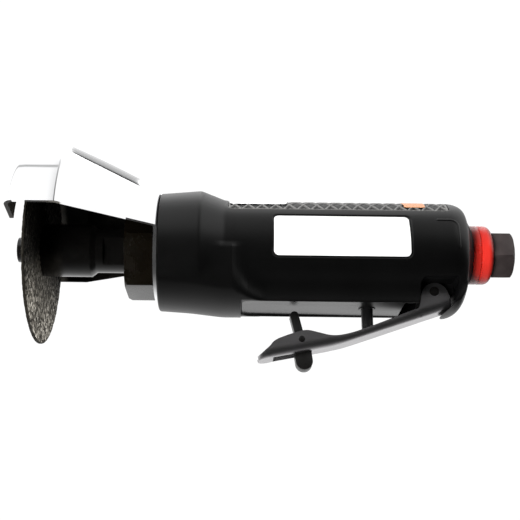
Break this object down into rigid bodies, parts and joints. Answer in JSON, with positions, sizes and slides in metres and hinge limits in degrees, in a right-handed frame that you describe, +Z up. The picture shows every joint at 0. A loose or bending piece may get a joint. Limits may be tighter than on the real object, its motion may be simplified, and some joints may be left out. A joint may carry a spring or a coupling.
{
  "type": "pneumatic cut off tool",
  "caption": "Straight air powered cut off tool with a small abrasive wheel in a half guard, a round grip, a sprung lever with a safety catch, and a threaded air inlet at the rear.",
  "frame": {"origin": "centre of the air inlet where its thread begins, behind the lead-in cone", "axes": "+X along the tool axis out of the air inlet, +Z up towards the wheel guard, lever below, +Y completes the right-handed frame"},
  "size_m": [0.1966, 0.0871, 0.0917],
  "materials": {
    "abrasive": "gritty resin bonded abrasive",
    "black_oxide_steel": "black oxide",
    "bright_steel": "ground",
    "bearing_brass": "turned",
    "felt": "felt",
    "guard_chrome": "bright plated",
    "cast_plate": "ground",
    "vane_resin": "laminated resin",
    "housing_aluminium": "black anodised",
    "grip_plastic": "satin soft touch",
    "cover_plastic": "satin",
    "lever_steel": "satin nickel plated",
    "catch_plastic": "black",
    "stem_black": "black",
    "seal_rubber": "matt",
    "inlet_steel": "dark plated",
    "deflector_red": "gloss"
  },
  "bodies": {
    "tool_body": {"clamp_nut": "black_oxide_steel", "front_seal": "felt", "front_end_plate": "cast_plate", "front_bearing_outer": "bright_steel", "cylinder_liner": "bright_steel", "liner_pin": "bright_steel", "rear_end_plate": "cast_plate", "rear_bearing_outer": "bright_steel", "rear_gasket": "vane_resin", "motor_housing": "housing_aluminium", "grip_sleeve": "grip_plastic", "rear_cover": "cover_plastic", "silencer_felt": "felt", "air_inlet": "inlet_steel", "inlet_screen": "bright_steel", "inlet_o_ring": "seal_rubber", "lever_pin": "black_oxide_steel", "valve_bush": "bearing_brass", "valve_spring": "bright_steel"},
    "spindle_assembly": {"cutting_disc": "abrasive", "outer_flange": "black_oxide_steel", "clamp_screw": "black_oxide_steel", "spindle": "black_oxide_steel", "front_spacer": "bright_steel", "rotor": "bright_steel", "rotor_vanes": "vane_resin", "front_bearing_inner": "bright_steel", "rear_bearing_inner": "bright_steel"},
    "front_ball_set": {"front_bearing_balls": "bright_steel", "front_bearing_cage": "bearing_brass"},
    "rear_ball_set": {"rear_bearing_balls": "bright_steel", "rear_bearing_cage": "bearing_brass"},
    "guard": {"wheel_guard": "guard_chrome"},
    "deflector": {"exhaust_deflector": "deflector_red"},
    "lever": {"throttle_lever": "lever_steel", "catch_pin": "black_oxide_steel", "catch_spring": "bright_steel"},
    "catch": {"safety_catch": "catch_plastic"},
    "valve": {"valve_stem": "stem_black", "valve_o_ring": "seal_rubber"}
  },
  "joints": [
    {"name": "wheel_spin", "type": "hinge", "parent": "tool_body", "child": "spindle_assembly", "pos_m": [0, 0, 0], "axis": [1, 0, 0], "continuous": true},
    {"name": "front_cage_spin", "type": "hinge", "parent": "tool_body", "child": "front_ball_set", "pos_m": [0, 0, 0], "axis": [1, 0, 0], "continuous": true},
    {"name": "rear_cage_spin", "type": "hinge", "parent": "tool_body", "child": "rear_ball_set", "pos_m": [0, 0, 0], "axis": [1, 0, 0], "continuous": true},
    {"name": "guard_turn", "type": "hinge", "parent": "tool_body", "child": "guard", "pos_m": [0, 0, 0], "axis": [1, 0, 0], "continuous": true},
    {"name": "deflector_turn", "type": "hinge", "parent": "tool_body", "child": "deflector", "pos_m": [0, 0, 0], "axis": [1, 0, 0], "continuous": true},
    {"name": "lever_press", "type": "hinge", "parent": "tool_body", "child": "lever", "pos_m": [-0.0312, 0, -0.0174], "axis": [0, 1, 0], "range_deg": [0, 8], "stiffness_Nm_per_rad": 1.5, "springref_deg": -11.46},
    {"name": "catch_fold", "type": "hinge", "parent": "lever", "child": "catch", "pos_m": [-0.0829, 0, -0.0371], "axis": [0, 1, 0], "range_deg": [0, 96.5]},
    {"name": "valve_lift", "type": "slide", "parent": "tool_body", "child": "valve", "axis": [0, 0, 1], "range_m": [0, 0.0041], "deforming": ["valve_spring"]}
  ],
  "couplings": [
    {"joint": "front_cage_spin", "follows": "wheel_spin", "ratio": 0.389},
    {"joint": "rear_cage_spin", "follows": "wheel_spin", "ratio": 0.37},
    {"joint": "catch_fold", "follows": "lever_press", "ratio": 12},
    {"joint": "valve_lift", "follows": "lever_press", "m_per_rad": 0.02865}
  ]
}
